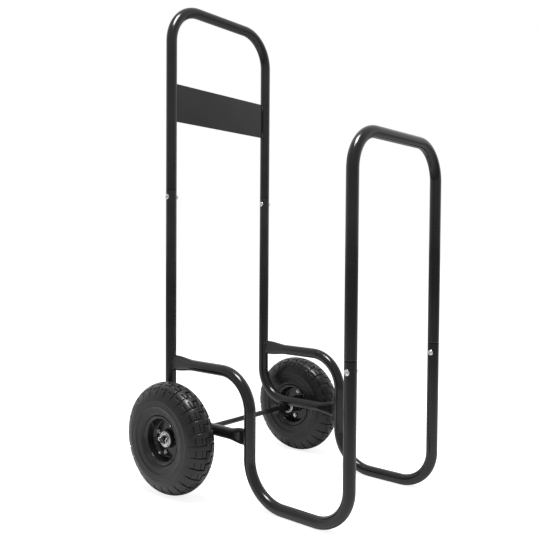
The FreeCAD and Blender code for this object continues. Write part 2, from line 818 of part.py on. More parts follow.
def at_both_hub_ends(make):
    """A bearing piece, made with its flange towards +x at x = 0, at each end of the hub."""
    outer = make()
    inner = mirrored(make())
    outer.translate(X_AXIS * (hub_outer_x - wheel_centre_x))
    inner.translate(X_AXIS * (hub_inner_x - wheel_centre_x))
    return Part.makeCompound([inner, outer])


def ball_groove():
    """The ring that both races are hollowed by."""
    centre = Vector(-bearing_width / 2, 0, 0)
    return Part.makeTorus(ball_circle_r, ball_d / 2 + ball_clearance, centre, X_AXIS)


def bearing_cup():
    """Outer race with the flange outside the hub and the dust shield over the balls."""
    open_r = ball_circle_r + race_gap
    shield_x = bearing_flange - shield_thickness
    shield_bore_r = inner_race_r + shield_clearance
    flange_r = bearing_r + bearing_flange_height
    points = [
        (-bearing_width, open_r),
        (-bearing_width, bearing_r),
        (0, bearing_r),
        (0, flange_r),
        (bearing_flange, flange_r),
        (bearing_flange, shield_bore_r),
        (shield_x, shield_bore_r),
        (shield_x, open_r),
    ]
    return one_solid(revolved(outline(points)).cut(ball_groove()))


def bearing_race():
    """Inner race, which stays still with the axle."""
    inner_end = Vector(-bearing_width, 0, 0)
    outer_end = Vector(bearing_flange + race_stand_out, 0, 0)
    race = ring(inner_race_r, axle_r + race_clearance, inner_end, outer_end)
    return one_solid(race.cut(ball_groove()))


def bearing_balls():
    centre = Vector(-bearing_width / 2, 0, ball_circle_r)
    return Part.makeCompound(round_wheel(Part.makeSphere(ball_d / 2, centre), ball_count))


# --------------------------------------------------------------- the build
def build():
    """Every piece of the cart by name."""
    pieces = {
        "handle_hoop": upper_hoop(rear_y, handle_z, handle_bend_r, rear_seam_z, rear_bolt_drop),
        "front_hoop": upper_hoop(front_y, hoop_z, hoop_bend_r, front_seam_z, front_bolt_drop),
        "handle_plate": handle_plate(),
        "joint_bolts": at_each_joint(joint_bolt),
        "joint_nuts": at_each_joint(joint_nut),
        "axle": axle(),
        "axle_washers": axle_washers(),
        "split_pins": Part.makeCompound([split_pin(-1), split_pin(1)]),
    }
    wheel_makers = {
        "tyre": tyre,
        "inner_tube": inner_tube,
        "rim_outer": rim_outer,
        "rim_inner": rim_inner,
        "rim_bolts": rim_bolts,
        "rim_nuts": rim_nuts,
        "valve_stem": valve_stem,
        "valve_cap": valve_cap,
        "hub": hub,
        "bearing_cups": lambda: at_both_hub_ends(bearing_cup),
        "bearing_balls": lambda: at_both_hub_ends(bearing_balls),
        "bearing_races": lambda: at_both_hub_ends(bearing_race),
    }
    wheel_pieces = {name: make() for name, make in wheel_makers.items()}
    turns = ((-1, "left", left_wheel_turn, left_tyre_turn), (1, "right", right_wheel_turn, right_tyre_turn))
    for side, word, wheel_turn, tyre_turn in turns:
        pieces["rear_leg_" + word] = rear_leg(side)
        pieces["cradle_side_" + word] = cradle_side(side)
        pieces["axle_sleeve_" + word] = axle_sleeve(side)
        for name, shape in wheel_pieces.items():
            turn = tyre_turn if name == "tyre" else wheel_turn
            pieces[name + "_" + word] = put_on_axle(shape, side, turn)
    return pieces


os.makedirs("parts", exist_ok=True)
for node_name, node_shape in build().items():
    node_shape.exportStep("parts/" + node_name + ".step")
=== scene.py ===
import json
import math

import bmesh
import bpy
from mathutils import Matrix, Vector


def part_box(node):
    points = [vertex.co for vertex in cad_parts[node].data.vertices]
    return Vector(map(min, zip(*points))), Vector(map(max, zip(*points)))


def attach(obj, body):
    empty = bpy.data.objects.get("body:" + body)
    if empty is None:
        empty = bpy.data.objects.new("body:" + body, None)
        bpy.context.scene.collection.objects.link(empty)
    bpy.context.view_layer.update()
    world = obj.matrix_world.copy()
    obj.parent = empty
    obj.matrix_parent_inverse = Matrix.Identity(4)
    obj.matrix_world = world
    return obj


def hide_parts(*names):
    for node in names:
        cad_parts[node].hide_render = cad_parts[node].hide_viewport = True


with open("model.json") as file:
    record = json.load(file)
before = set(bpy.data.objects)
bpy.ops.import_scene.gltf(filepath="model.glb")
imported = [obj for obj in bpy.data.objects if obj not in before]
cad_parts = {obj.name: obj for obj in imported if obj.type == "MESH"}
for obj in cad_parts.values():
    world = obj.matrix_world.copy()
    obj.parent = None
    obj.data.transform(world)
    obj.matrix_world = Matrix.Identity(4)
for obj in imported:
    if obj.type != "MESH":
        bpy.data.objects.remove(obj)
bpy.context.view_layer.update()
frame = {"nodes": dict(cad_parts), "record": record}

# Fireside log cart. Metres, +Z up. X runs across the cart and "left" is the -X side.
# The log cradle is at the front, -Y, and the push handle at the back, +Y.

mm = 0.001


# ------------------------------------------------------------- sizes from the frame
def middle(node):
    low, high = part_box(node)
    return (low + high) / 2


def size(node):
    low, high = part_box(node)
    return high - low


tube_r = size("cradle_side_right").x / 2
side_x = middle("cradle_side_right").x
rear_y = middle("handle_hoop").y
front_y = middle("front_hoop").y
handle_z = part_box("handle_hoop")[1].z - tube_r
hoop_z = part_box("front_hoop")[1].z - tube_r
rear_seam_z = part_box("rear_leg_right")[1].z
front_seam_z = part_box("cradle_side_right")[1].z
axle_y = middle("axle").y
axle_z = middle("axle").z
tyre_r = size("tyre_right").z / 2
tyre_half_width = size("tyre_right").x / 2
wheel_x = middle("tyre_right").x
hub_r = size("hub_right").z / 2
hub_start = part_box("hub_right")[0].x - wheel_x
hub_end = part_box("hub_right")[1].x - wheel_x
rim_half_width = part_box("rim_outer_right")[1].x - wheel_x
plate_low, plate_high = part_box("handle_plate")
sleeve_r = size("axle_sleeve_right").z / 2
sleeve_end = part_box("axle_sleeve_right")[1].x

# ------------------------------------------------------------- sizes of the frame tube
tube_wall = 1.5 * mm
spigot_r = tube_r - tube_wall - 0.2 * mm
shoulder = 3.0 * mm          # length of the rounding where a tube is reduced to its plug
seam_gap = 0.6 * mm          # between the shoulder and the rim of the socket
socket_edge_r = 0.8 * mm
handle_bend_r = 85 * mm
hoop_bend_r = 80 * mm
arm_bend_r = 84 * mm
cradle_rear_bend_r = 92 * mm
cradle_front_bend_r = 80 * mm
leg_bend_r = 80 * mm
cradle_depth = 257 * mm
post_y = front_y + cradle_depth
arm_z = 284 * mm
brace_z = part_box("rear_leg_right")[0].z + 18 * mm     # half the height of the pressed end
flat_height = 36 * mm
flat_thickness = 11.5 * mm
flat_length = 18 * mm
brace_taper = 34 * mm
arm_taper = 56 * mm
nut_height = 5 * mm
nut_across_flats = 10 * mm
bolt_r = 3 * mm
rear_bolt_z = rear_seam_z - 17 * mm       # the bolts sit below the seams
front_bolt_z = front_seam_z - 21 * mm

# ------------------------------------------------------------- sizes of the wheel
# Wheel pieces are drawn about the X axis, their middle plane at x = 0 and the outer face at +x.
sheet = 1.8 * mm             # thickness of the rims' steel
disc_r = 43 * mm             # of the flat disc that the bolts clamp
dish_wall_x = 9 * mm
bead_seat_r = 49.5 * mm
flange_x = rim_half_width - 4 * mm
flange_lean = 1.4 * mm
rim_lip_r = 54.7 * mm
lip_reach = 2.6 * mm
press_r = 3.5 * mm
flange_bend_r = 2.5 * mm
rim_bolt_circle_r = 34.5 * mm
rim_bolt_count = 4
rim_head_height = 4 * mm
bearing_r = 17.5 * mm
bearing_flange = 1.5 * mm
bearing_width = 12 * mm
shield_bore_r = 10 * mm
tread_half_width = 23.5 * mm
shoulder_r = tyre_r - 8.5 * mm            # of the tread's edge
sidewall_foot = Vector((30.8 * mm, 57.6 * mm))
sidewall_wide = Vector((37 * mm, 89.55 * mm))
repeat_count = 28
wheel_turn = {"left": math.radians(16.6), "right": math.radians(8.0)}
tyre_turn = {"left": math.radians(8.5), "right": math.radians(4.3)}
shoulder_foot_r = 92 * mm                 # where the tread's grid ends on the sidewall
floor_foot_x = tyre_half_width - 1.1 * mm

X = Vector((1, 0, 0))
Y = Vector((0, 1, 0))
ROUND = 72               # faces round a tube, a nut or a bolt
TURN_STEP = math.radians(2.5)
WHEEL_ROUND = 168        # faces round a turned wheel piece
SHARP = 35               # degrees, the widest edge that is shaded smooth
sides = ((-1, "left"), (1, "right"))


# ------------------------------------------------------------- nodes and materials
def fed(tree, kind, inputs, output=0, **settings):
    """Adds a node with its settings. Each input takes a socket or a plain value. Returns the
    socket of one of the node's outputs."""
    node = tree.nodes.new(kind)
    for name, value in settings.items():
        setattr(node, name, value)
    for key, value in inputs.items():
        if isinstance(value, bpy.types.NodeSocket):
            tree.links.new(value, node.inputs[key])
        else:
            node.inputs[key].default_value = value
    return node.outputs[output]


def new_material(name):
    """A new material, its node tree and its shader."""
    material = bpy.data.materials.new(name)
    material.use_nodes = True
    return material, material.node_tree, material.node_tree.nodes["Principled BSDF"]


def noise(tree, scale, detail):
    """Noise on the object's own coordinates, which are metres in the row's frame."""
    where = fed(tree, "ShaderNodeTexCoord", {}, "Object")
    return fed(tree, "ShaderNodeTexNoise", {"Scale": scale, "Detail": detail, "Vector": where})


def ranged(tree, value, from_min, from_max, to_min, to_max):
    """Maps a value from one range to another. The end of the second may be a socket."""
    limits = {"From Min": from_min, "From Max": from_max, "To Min": to_min, "To Max": to_max}
    return fed(tree, "ShaderNodeMapRange", {"Value": value, **limits})


def tint(tree, value, dark, light):
    """Mixes two colours by a 0 to 1 value."""
    mixed = fed(tree, "ShaderNodeValToRGB", {"Fac": value})
    low, high = mixed.node.color_ramp.elements
    low.position, high.position = 0.35, 0.65
    low.color, high.color = (*dark, 1), (*light, 1)
    return mixed


def surface(name, colour, roughness, grain=None, shine={}):
    """A material of noises. colour is a noise's scale and detail with its darkest and lightest
    colour, roughness the same with the smoothest and roughest value, and grain the same with the
    height and strength of a bump. shine gives other sockets of the shader plain values."""
    material, tree, shader = new_material(name)
    scale, detail, dark, light = colour
    tree.links.new(tint(tree, noise(tree, scale, detail), dark, light), shader.inputs["Base Color"])
    scale, detail, low, high = roughness
    uneven = ranged(tree, noise(tree, scale, detail), 0.3, 0.7, low, high)
    tree.links.new(uneven, shader.inputs["Roughness"])
    if grain:
        scale, detail, height, strength = grain
        relief = {"Distance": height, "Strength": strength, "Height": noise(tree, scale, detail)}
        tree.links.new(fed(tree, "ShaderNodeBump", relief), shader.inputs["Normal"])
    for socket, value in shine.items():
        shader.inputs[socket].default_value = value
    return material


finishes = {
    # semi-gloss black, with a soft orange peel and slightly uneven gloss
    "black_powder_coat": surface(
        "black_powder_coat",
        colour=(14, 3, (0.008, 0.008, 0.009), (0.013, 0.013, 0.013)),
        roughness=(45, 4, 0.13, 0.20),
        grain=(700, 2, 0.05 * mm, 0.35),
        shine={"Specular IOR Level": 0.5},
    ),
    # wet-looking black paint on the pressed rims and hubs
    "gloss_black_paint": surface(
        "gloss_black_paint",
        colour=(60, 4, (0.016, 0.016, 0.017), (0.026, 0.026, 0.026)),
        roughness=(90, 5, 0.12, 0.20),
        grain=(120, 2, 0.02 * mm, 0.2),
        shine={"Specular IOR Level": 0.45},
    ),
    # clear grey metal with faint clouding and fine marks from the plating barrel
    "bright_zinc": surface(
        "bright_zinc",
        colour=(160, 4, (0.72, 0.72, 0.73), (0.90, 0.90, 0.89)),
        roughness=(500, 3, 0.18, 0.30),
        grain=(1400, 3, 0.02 * mm, 0.3),
        shine={"Metallic": 1.0},
    ),
    # ground steel of the bearings' races and balls
    "bearing_steel": surface(
        "bearing_steel",
        colour=(220, 3, (0.42, 0.42, 0.43), (0.52, 0.52, 0.52)),
        roughness=(220, 3, 0.2, 0.3),
        shine={"Metallic": 1.0},
    ),
    # new rubber, black with the sheen of its mould
    "tyre_rubber": surface(
        "tyre_rubber",
        colour=(30, 6, (0.006, 0.006, 0.006), (0.014, 0.014, 0.014)),
        roughness=(70, 4, 0.36, 0.48),
        grain=(1100, 4, 0.05 * mm, 0.4),
        shine={"Specular IOR Level": 0.34, "Coat Weight": 0.3, "Coat Roughness": 0.17},
    ),
    # smooth butyl rubber of the inner tube and its valve
    "tube_rubber": surface(
        "tube_rubber",
        colour=(50, 4, (0.018, 0.018, 0.018), (0.028, 0.028, 0.028)),
        roughness=(50, 4, 0.5, 0.65),
    ),
    # moulded plastic of the valve caps
    "black_plastic": surface(
        "black_plastic",
        colour=(900, 3, (0.014, 0.014, 0.014), (0.022, 0.022, 0.022)),
        roughness=(900, 3, 0.4, 0.55),
    ),
}
for entry in frame["record"]["subparts"]:
    materials = frame["nodes"][entry["node"]].data.materials
    materials.clear()
    materials.append(finishes[entry["material_slot"]])


# ------------------------------------------------------------- mesh helpers
def linked(name, mesh):
    piece = bpy.data.objects.new(name, mesh)
    bpy.context.scene.collection.objects.link(piece)
    return piece


def finish_mesh(mesh, finish, sharp):
    """Merges a mesh's doubled points, faces it outwards, and shades it smooth up to an angle."""
    work = bmesh.new()
    work.from_mesh(mesh)
    bmesh.ops.remove_doubles(work, verts=work.verts, dist=0.002 * mm)
    bmesh.ops.recalc_face_normals(work, faces=work.faces)
    work.to_mesh(mesh)
    work.free()
    mesh.shade_smooth()
    mesh.set_sharp_from_angle(angle=math.radians(sharp))
    mesh.materials.clear()
    mesh.materials.append(finishes[finish])


def plain_mesh(name, verts, faces, edges=()):
    mesh = bpy.data.meshes.new(name)
    mesh.from_pydata([tuple(v) for v in verts], edges, faces)
    return mesh


def make_mesh(name, verts, faces, finish, sharp=SHARP):
    mesh = plain_mesh(name, verts, faces)
    finish_mesh(mesh, finish, sharp)
    return mesh


def make_piece(name, part, finish, body, *nodes, sharp=SHARP):
    """A piece on its body from points and faces. It stands for the CAD nodes that it replaces."""
    return settle(linked(name, make_mesh(name, *part, finish, sharp)), body, finish, *nodes)


def settle(piece, body, finish, *nodes):
    """Puts a finished piece on its body, and lets it stand for the CAD nodes that it replaces."""
    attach(piece, body)
    if nodes:
        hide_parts(*nodes)
    return piece


def skin(rings, cap_start=True, cap_end=True):
    """Points and faces of a skin over rings of equally many points."""
    count = len(rings[0])
    verts = [point for ring in rings for point in ring]
    faces = []
    for row in range(len(rings) - 1):
        for k in range(count):
            a = row * count + k
            b = row * count + (k + 1) % count
            faces.append((a, b, b + count, a + count))
    if cap_start:
        faces.append(tuple(range(count)))
    if cap_end:
        last = (len(rings) - 1) * count
        faces.append(tuple(range(last, last + count)))
    return verts, faces


def joined(parts):
    """Several lists of points and faces as one."""
    verts, faces = [], []
    for part_verts, part_faces in parts:
        start = len(verts)
        verts += part_verts
        faces += [tuple(start + index for index in face) for face in part_faces]
    return verts, faces


def soft_outline(points, radius, steps=3):
    """A closed outline with its corners rounded."""
    rounded = []
    for before, corner, after in zip(points[-1:] + points[:-1], points, points[1:] + points[:1]):
        back = Vector(before) - Vector(corner)
        ahead = Vector(after) - Vector(corner)
        start = Vector(corner) + back.normalized() * min(radius, back.length * 0.4)
        end = Vector(corner) + ahead.normalized() * min(radius, ahead.length * 0.4)
        for k in range(steps + 1):
            share = k / steps
            near = start.lerp(Vector(corner), share)
            rounded.append(near.lerp(Vector(corner).lerp(end, share), share))
    return rounded


def turned(outline_at, count=WHEEL_ROUND):
    """Points and faces of a closed (x, radius) outline turned about the X axis. The outline may
    be a function of the angle."""
    rings = []
    for k in range(count):
        angle = 2 * math.pi * k / count
        points = outline_at(angle) if callable(outline_at) else outline_at
        rings.append([Vector((x, r * math.cos(angle), r * math.sin(angle))) for x, r in points])
    return skin(rings + rings[:1], False, False)


def moved(part, matrix):
    verts, faces = part
    return [matrix @ point for point in verts], faces


# ------------------------------------------------------------- geometry nodes
def node_tree(name, **kinds):
    """A new Geometry Nodes tree with one geometry in, one out, and named inputs. Returns the
    tree and the sockets of what comes in."""
    tree = bpy.data.node_groups.new(name, "GeometryNodeTree")
    tree.interface.new_socket("Geometry", in_out="INPUT", socket_type="NodeSocketGeometry")
    for label, kind in kinds.items():
        tree.interface.new_socket(label, in_out="INPUT", socket_type="NodeSocket" + kind)
    tree.interface.new_socket("Geometry", in_out="OUTPUT", socket_type="NodeSocketGeometry")
    return tree, tree.nodes.new("NodeGroupInput").outputs


def give(tree, given, geometry):
    """Gives a tree's geometry its finish and sends it out."""
    painting = {"Geometry": geometry, "Material": given["Finish"]}
    painted = fed(tree, "GeometryNodeSetMaterial", painting)
    tree.links.new(painted, tree.nodes.new("NodeGroupOutput").inputs[0])
    return tree


def repeat_tree():
    """Turns copies of what comes in about the X axis and merges them where they meet."""
    tree, given = node_tree(
        "repeat_round_axle", Count="Int", Step="Float", Merge="Float", Finish="Material"
    )
    spots = fed(tree, "GeometryNodePoints", {"Count": given["Count"]})
    index = fed(tree, "GeometryNodeInputIndex", {})
    turn = fed(tree, "ShaderNodeMath", {0: index, 1: given["Step"]}, operation="MULTIPLY")
    angles = fed(tree, "ShaderNodeCombineXYZ", {"X": turn})
    rotation = fed(tree, "FunctionNodeEulerToRotation", {0: angles})
    copying = {"Points": spots, "Instance": given["Geometry"], "Rotation": rotation}
    copies = fed(tree, "GeometryNodeInstanceOnPoints", copying)
    real = fed(tree, "GeometryNodeRealizeInstances", {0: copies})
    merging = {"Geometry": real, "Distance": given["Merge"]}
    return give(tree, given, fed(tree, "GeometryNodeMergeByDistance", merging))


def weld_tree():
    """Lays overlapping ripples of weld along the lines that come in."""
    smallest, largest = (0.86, 0.86, 0.55), (1.12, 1.12, 0.75)
    tree, given = node_tree(
        "weld_ripples", Pitch="Float", Radius="Float", Seed="Int", Finish="Material"
    )
    curve = fed(tree, "GeometryNodeMeshToCurve", {0: given["Geometry"]})
    spacing = {"Curve": curve, "Length": given["Pitch"]}
    spaced = fed(tree, "GeometryNodeResampleCurve", spacing, mode="LENGTH")
    shape = {"Segments": 10, "Rings": 6, "Radius": given["Radius"]}
    drop = fed(tree, "GeometryNodeMeshUVSphere", shape)
    tangent = fed(tree, "GeometryNodeInputTangent", {})
    along = fed(tree, "FunctionNodeAlignRotationToVector", {"Vector": tangent}, axis="Z")
    scaling = {0: smallest, 1: largest, "Seed": given["Seed"]}
    uneven = fed(tree, "FunctionNodeRandomValue", scaling, data_type="FLOAT_VECTOR")
    laying = {"Points": spaced, "Instance": drop, "Rotation": along, "Scale": uneven}
    drops = fed(tree, "GeometryNodeInstanceOnPoints", laying)
    return give(tree, given, fed(tree, "GeometryNodeRealizeInstances", {0: drops}))


repeating = repeat_tree()
welding = weld_tree()


def grown(name, mesh, tree, finish, **values):
    """Runs a Geometry Nodes tree on a mesh and returns the plain mesh that it makes."""
    source = linked(name + "_source", mesh)
    modifier = source.modifiers.new("grow", "NODES")
    modifier.node_group = tree
    values["Finish"] = finishes[finish]
    for item in tree.interface.items_tree:
        if item.in_out == "INPUT" and item.name in values:
            modifier[item.identifier] = values[item.name]
    evaluated = source.evaluated_get(bpy.context.evaluated_depsgraph_get())
    result = bpy.data.meshes.new_from_object(evaluated)
    result.name = name
    source.modifiers.remove(modifier)
    bpy.data.objects.remove(source)
    return result


def repeated(name, part, count, finish, sharp, merge):
    """A mesh of equal copies round the X axis, whose points are merged over a small distance."""
    step = 2 * math.pi / count
    mesh = plain_mesh(name, *part)
    mesh = grown(name, mesh, repeating, finish, Count=count, Step=step, Merge=merge)
    finish_mesh(mesh, finish, sharp)
    return mesh


def welds(name, body, lines, radius, pitch, seed):
    """One piece with the weld ripples along every line. A line is a list of points."""
    verts, edges = [], []
    for line in lines:
        start = len(verts)
        verts += line
        edges += [(start + k, start + k + 1) for k in range(len(line) - 1)]
    finish = "black_powder_coat"
    mesh = plain_mesh(name, verts, [], edges)
    mesh = grown(name, mesh, welding, finish, Pitch=pitch, Radius=radius, Seed=seed)
    mesh.shade_smooth()
    return settle(linked(name, mesh), body, finish)


# ------------------------------------------------------------- tube helpers
def bent_line(corners, radii, step=TURN_STEP):
    """Places and directions along straight runs joined by tangent arcs."""
    stations = [(corners[0], (corners[1] - corners[0]).normalized())]
    for before, corner, after, radius in zip(corners, corners[1:], corners[2:], radii):
        back = (before - corner).normalized()
        ahead = (after - corner).normalized()
        half = back.angle(ahead) / 2
        centre = corner + (back + ahead).normalized() * (radius / math.sin(half))
        arm = corner + back * (radius / math.tan(half)) - centre
        axis = back.cross(ahead).normalized() * -1
        turn = math.pi - 2 * half
        steps = max(3, math.ceil(turn / step))
        for k in range(steps + 1):
            turned_arm = Matrix.Rotation(turn * k / steps, 3, axis) @ arm
            stations.append((centre + turned_arm, axis.cross(turned_arm).normalized()))
    stations.append((corners[-1], (corners[-1] - corners[-2]).normalized()))
    return stations


def oval_ring(centre, across, up, half_across, half_up, clamp):
    """A ring of points round an oval whose sides are pressed flat at a distance from its middle."""
    points = []
    for k in range(ROUND):
        angle = 2 * math.pi * k / ROUND
        u = max(-clamp, min(clamp, half_across * math.cos(angle)))
        points.append(centre + across * u + up * (half_up * math.sin(angle)))
    return points


def bent_tube(corners, radii, across, start, end):
    """Rings of a bent tube in one plane. start and end list what is added past the first and the
    last corner as (distance from the corner along the tube, half across, half up, clamp)."""

    def added(station, sections):
        place, ahead = station
        up = across.cross(ahead)
        return [oval_ring(place + ahead * reach, across, up, *oval) for reach, *oval in sections]

    stations = bent_line(corners, radii)
    rings = added(stations[0], start)
    for place, direction in stations:
        rings.append(oval_ring(place, across, across.cross(direction), tube_r, tube_r, tube_r))
    return rings + added(stations[-1], end)


def quarter_round(steps=5):
    """Shares of a quarter circle: how far in and how far along."""
    angles = [math.pi / 2 * k / steps for k in range(steps + 1)]
    return [(1 - math.cos(angle), 1 - math.sin(angle)) for angle in angles]


# ------------------------------------------------------------- frame tubes
def plug_end():
    """A reduced end: a stub inside the socket, then the rounded shoulder above the seam."""
    stub_length = 6 * mm
    sections = [(-shoulder - stub_length, spigot_r, spigot_r, spigot_r)]
    for inwards, along in quarter_round():
        radius = tube_r - (tube_r - spigot_r) * inwards
        sections.append((shoulder * (along - 1), radius, radius, radius))
    return sorted(sections)


def socket_end():
    """An open end: the bore, the rim and its rounded outer edge, a hair short of the seam."""
    bore_r, bore_depth = tube_r - tube_wall, 12 * mm
    sections = [(bore_depth, bore_r, bore_r, bore_r), (seam_gap, bore_r, bore_r, bore_r)]
    for inwards, along in quarter_round():
        radius = tube_r - socket_edge_r * along
        sections.append((seam_gap + socket_edge_r * inwards, radius, radius, radius))
    return sections


def pressed_end(taper, steps=20):
    """The end of a tube that is pressed from round to a tall flat oval."""
    half_flat = flat_thickness / 2
    bulge = 1.8 * mm         # how far the oval would reach past the flats that press it
    sections = []
    for k in range(1, steps + 1):
        share = k / steps
        smooth = share * share * (3 - 2 * share)
        wide = tube_r + (half_flat + bulge - tube_r) * smooth
        clamp = tube_r + (half_flat - tube_r) * share
        sections.append((taper * share, wide, tube_r + (flat_height / 2 - tube_r) * smooth, clamp))
    oval = sections[-1][1:]
    return sections + [(taper + flat_length * 0.55, *oval), (taper + flat_length, *oval)]


def coped_to(rings, x, upright_y, toward):
    """Moves the last ring along Y onto the upright tube that it is welded to."""
    for point in rings[-1]:
        point.y = upright_y - toward * math.sqrt(tube_r**2 - (point.x - x) ** 2)
    return rings[-1] + rings[-1][:1]


def hoop(name, y, top_z, bend_r, seam_z):
    lip_z = seam_z + shoulder
    ways = ((-side_x, lip_z), (-side_x, top_z), (side_x, top_z), (side_x, lip_z))
    start = plug_end()
    end = [(-reach, *oval) for reach, *oval in reversed(start)]
    rings = bent_tube([Vector((x, y, z)) for x, z in ways], [bend_r, bend_r], Y, start, end)
    make_piece(name, skin(rings), "black_powder_coat", "frame", name)


def side_tube(name, node, x, way, radii, taper, upright_y, toward):
    """A tube in the plane of one side, through (y, z) places, from a socket to a pressed end on
    an upright. Returns the line of its weld."""
    corners = [Vector((x, y, z)) for y, z in way]
    rings = bent_tube(corners, radii, X, socket_end(), pressed_end(taper))
    weld_line = coped_to(rings, x, upright_y, toward)
    make_piece(name, skin(rings), "black_powder_coat", "frame", node)
    return weld_line


def rear_leg(side, word):
    end_y = post_y + tube_r / 2 + flat_length + brace_taper
    way = ((rear_y, rear_seam_z), (rear_y, brace_z), (end_y, brace_z))
    name, node = "rear_leg_tube_" + word, "rear_leg_" + word
    return side_tube(name, node, side * side_x, way, [leg_bend_r], brace_taper, post_y, -1)


def cradle_side(side, word):
    """The front post, the floor run, the rear post and the arm of one side."""
    end_y = rear_y - tube_r / 2 - flat_length - arm_taper
    way = (
        (front_y, front_seam_z),
        (front_y, tube_r),
        (post_y, tube_r),
        (post_y, arm_z),
        (end_y, arm_z),
    )
    radii = [cradle_front_bend_r, cradle_rear_bend_r, arm_bend_r]
    name, node = "cradle_side_tube_" + word, "cradle_side_" + word
    return side_tube(name, node, side * side_x, way, radii, arm_taper, rear_y, 1)


def cross_plate():
    """The plate between the handle's legs, with its edges dulled."""
    edge_r = 0.6 * mm
    half = (plate_high.y - plate_low.y) / 2
    low, high = plate_low.z, plate_high.z
    outline = soft_outline([(-half, low), (half, low), (half, high), (-half, high)], edge_r)
    ends = (plate_low.x, plate_high.x)
    rings = [[Vector((x, rear_y + y, z)) for y, z in outline] for x in ends]
    make_piece("handle_cross_plate", skin(rings), "black_powder_coat", "frame", "handle_plate")


def plate_tacks():
    """Short weld lines at the plate's corners, on both of its faces."""
    length, inset, proud = 14 * mm, 1.5 * mm, 0.3 * mm
    lines = []
    for x in (plate_low.x, plate_high.x):
        for y in (plate_low.y - proud, plate_high.y + proud):
            for z in (plate_low.z + inset, plate_high.z - inset - length):
                lines.append([Vector((x, y, z)), Vector((x, y, z + length))])
    return lines


def from_leg_line(y, z):
    """How far a point lies from a rear leg's centre line, near the axle."""
    bend_y = rear_y - leg_bend_r
    if y <= bend_y:
        return abs(z - brace_z)
    return abs(leg_bend_r - math.hypot(y - bend_y, z - brace_z - leg_bend_r))


def sleeve_seams(side, steps=40):
    """The two lines where an axle sleeve meets the brace above it."""
    lines = []
    for toward in (-1, 1):
        line = []
        for k in range(steps + 1):
            y = axle_y + (2 * k / steps - 1) * sleeve_r * 0.98
            z = axle_z + math.sqrt(sleeve_r**2 - (y - axle_y) ** 2)
            reach = tube_r**2 - from_leg_line(y, z) ** 2
            if reach > 0:
                line.append(Vector((side * side_x + toward * math.sqrt(reach), y, z)))
        lines.append(line)
    return lines


hoop("handle_hoop", rear_y, handle_z, handle_bend_r, rear_seam_z)
hoop("front_hoop", front_y, hoop_z, hoop_bend_r, front_seam_z)
seams = []
for side, word in sides:
    seams += [rear_leg(side, word), cradle_side(side, word)] + sleeve_seams(side)
cross_plate()
welds("frame_welds", "frame", seams, radius=2.5 * mm, pitch=2.0 * mm, seed=3)
welds("plate_tack_welds", "frame", plate_tacks(), radius=1.6 * mm, pitch=1.3 * mm, seed=5)


# ------------------------------------------------------------- fasteners and axle pieces
def hexagon_r(angle):
    """Distance from the middle of a nut's or a bolt head's hexagon to its edge."""
    from_flat = (angle + math.pi / 6) % (math.pi / 3) - math.pi / 6
    return nut_across_flats / 2 / math.cos(from_flat)


def chamfer_drop(radius):
    """How far the 30 degree chamfer of a hexagon has come down at a radius."""
    return max(0.0, radius - nut_across_flats / 2) * math.tan(math.radians(30))


def nut_outline(angle):
    """Outline of a chamfered nut from its seat at x = 0 along +x, at an angle round its axis."""
    corner = hexagon_r(angle)
    drop = chamfer_drop(corner)
    face_r = min(corner, nut_across_flats / 2) - 0.1 * mm
    bore = bolt_r + 0.1 * mm
    return [
        (0, bore),
        (0, face_r),
        (drop + 0.1 * mm, corner),
        (nut_height - drop - 0.1 * mm, corner),
        (nut_height, face_r),
        (nut_height, bore + 0.5 * mm),
        (nut_height - 0.5 * mm, bore),
    ]


def bolt_tip(reach):
    """Threaded outline of a bolt's end that stands out of its nut, towards +x."""
    points = []
    pitch, thread = 0.8 * mm, 0.35 * mm
    x = 0
    while x < reach - pitch:
        points += [(x, bolt_r), (x + pitch / 2, bolt_r - thread)]
        x += pitch
    end = [(reach - 0.3 * mm, bolt_r), (reach, bolt_r - 0.6 * mm), (reach, 0)]
    return points + [(x, bolt_r)] + end


def rim_bolt_outline(angle):
    """Outline of a hexagon bolt from the top of its head down to its threaded end. The head's
    seat on the rim is at x = 0."""
    corner = hexagon_r(angle)
    drop = chamfer_drop(corner)
    flat_r = nut_across_flats / 2
    under = -2 * sheet - nut_height
    tip = [(under - x, r) for x, r in bolt_tip(2.0 * mm)]
    dent_x = rim_head_height - 0.5 * mm
    head = [
        (dent_x, 0),
        (dent_x, flat_r * 0.55),
        (rim_head_height, flat_r * 0.68),
        (rim_head_height, flat_r - 0.1 * mm),
        (rim_head_height - drop - 0.1 * mm, corner),
        (0, corner),
        (0, bolt_r),
    ]
    return head + tip


def joint_nuts():
    """The nuts of the four slip joints, on the tube's +X side."""
    part = turned(nut_outline, ROUND)
    parts = []
    for x in (-side_x, side_x):
        for y, z in ((rear_y, rear_bolt_z), (front_y, front_bolt_z)):
            parts.append(moved(part, Matrix.Translation((x + tube_r, y, z))))
    make_piece("slip_joint_nuts", joined(parts), "bright_zinc", "frame", "joint_nuts", sharp=25)


def axle_washers():
    """The four washers, punched from sheet, with their edges a little rounded."""
    box_low, box_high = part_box("axle_washers")
    bore_r, radius = 6.5 * mm, (box_high.z - box_low.z) / 2
    thickness = 2 * mm
    starts = (box_low.x, -sleeve_end - thickness, sleeve_end, box_high.x - thickness)
    outline = [(0, bore_r), (0, radius), (thickness, radius), (thickness, bore_r)]
    part = turned(soft_outline(outline, 0.4 * mm), 96)
    parts = [moved(part, Matrix.Translation((x, axle_y, axle_z))) for x in starts]
    make_piece("axle_washer_set", joined(parts), "black_powder_coat", "frame", "axle_washers")


joint_nuts()
axle_washers()


